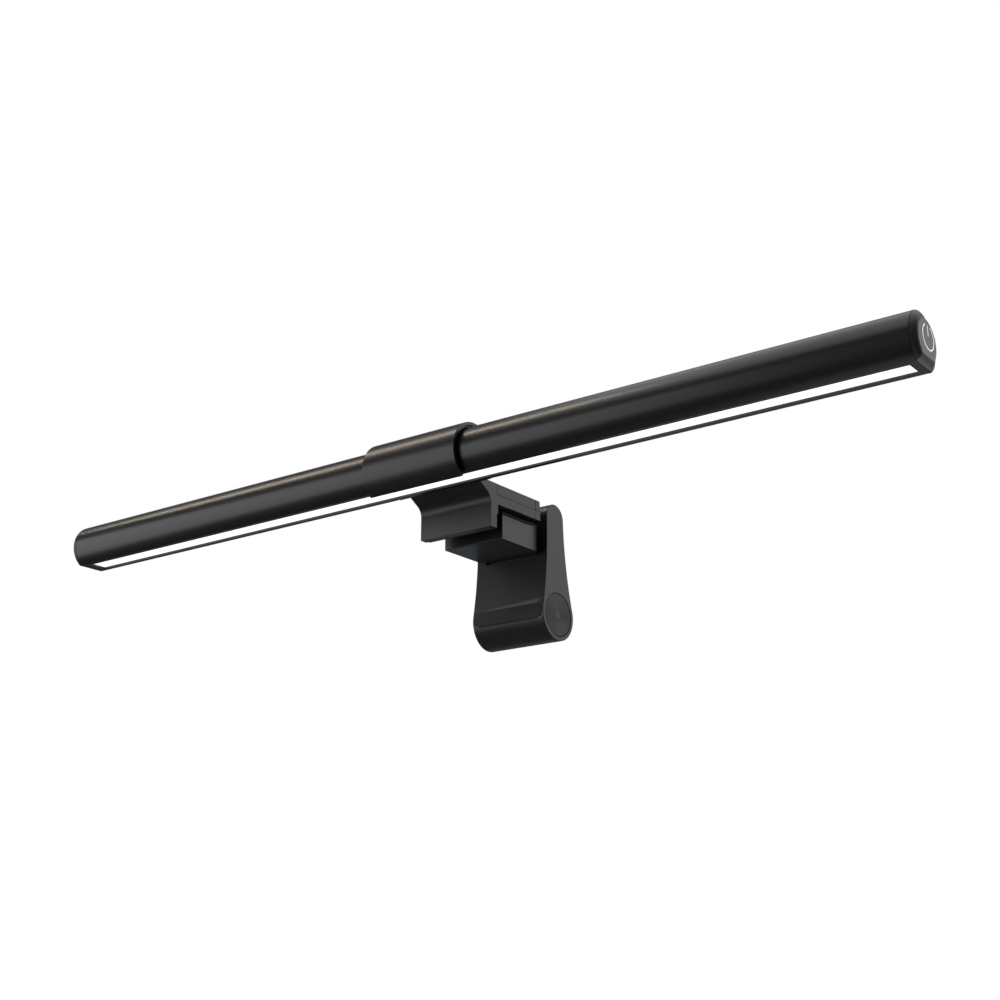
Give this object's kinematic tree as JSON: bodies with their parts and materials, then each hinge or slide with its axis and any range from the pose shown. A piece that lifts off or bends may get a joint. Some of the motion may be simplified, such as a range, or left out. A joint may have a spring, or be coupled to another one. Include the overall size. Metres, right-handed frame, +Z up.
{
  "type": "monitor light bar",
  "caption": "Long slim lamp with a D-shaped section that turns in a collar above a monitor; the bracket hooks over the screen's top edge and a weighted rear clamp swings in to hold it.",
  "frame": {"origin": "middle of the bracket's rest face, the underside of the arm that sits on the monitor's top edge", "axes": "+X along the bar towards its power end, +Y from the screen's front to its back, +Z up"},
  "size_m": [0.45, 0.0959, 0.0815],
  "materials": {
    "anodised_black": "satin black anodised",
    "shell_plastic": "fine matte moulded",
    "touch_plate": "satin grey",
    "silicone_black": "matte silicone",
    "diffuser_opal": "opal, lit from behind",
    "icon_white": "white",
    "reflector_white": "gloss white",
    "led_board_white": "white solder mask on aluminium",
    "circuit_board": "green solder mask",
    "steel": "zinc-plated steel",
    "turned_disc": "dark turned face",
    "pom_black": "smooth low-friction moulding"
  },
  "bodies": {
    "light_bar": {"bar_housing": "anodised_black", "diffuser": "diffuser_opal", "led_board": "led_board_white", "reflector": "reflector_white", "driver_board": "circuit_board", "usb_c_socket": "steel", "usb_bezel": "pom_black", "right_end_cap": "shell_plastic", "right_cap_screw_front": "steel", "right_cap_screw_rear": "steel", "touch_board": "circuit_board", "touch_face": "touch_plate", "power_icon_ring": "icon_white", "power_icon_bar": "icon_white", "left_end_cap": "shell_plastic"},
    "bracket": {"collar": "anodised_black", "collar_liner": "pom_black", "collar_screw_left": "steel", "collar_screw_right": "steel", "bracket_body": "shell_plastic", "arm_top_cover": "shell_plastic", "cover_screw_front": "steel", "cover_screw_rear": "steel", "hinge_end": "shell_plastic", "hinge_end_screw_left": "steel", "hinge_end_screw_right": "steel", "lip_pad": "silicone_black"},
    "rear_clamp": {"leg_body": "shell_plastic", "leg_back_cover": "shell_plastic", "back_cover_screw_upper": "steel", "back_cover_screw_lower": "steel", "hinge_pin": "steel", "hinge_washer_left": "pom_black", "hinge_washer_right": "pom_black", "counterweight": "steel", "leg_disc_left": "turned_disc", "leg_disc_right": "turned_disc", "leg_pad": "silicone_black", "clamp_block": "shell_plastic", "block_pad": "silicone_black", "block_screw_left": "steel", "block_screw_right": "steel"}
  },
  "joints": [
    {"name": "bar_tilt", "type": "hinge", "parent": "bracket", "child": "light_bar", "pos_m": [0, -0.0285, 0.0148], "axis": [1, 0, 0], "range_deg": [-5, 20]},
    {"name": "clamp_swing", "type": "hinge", "parent": "bracket", "child": "rear_clamp", "pos_m": [0, 0.0395, 0.0042], "axis": [1, 0, 0], "range_deg": [0, 75]}
  ]
}
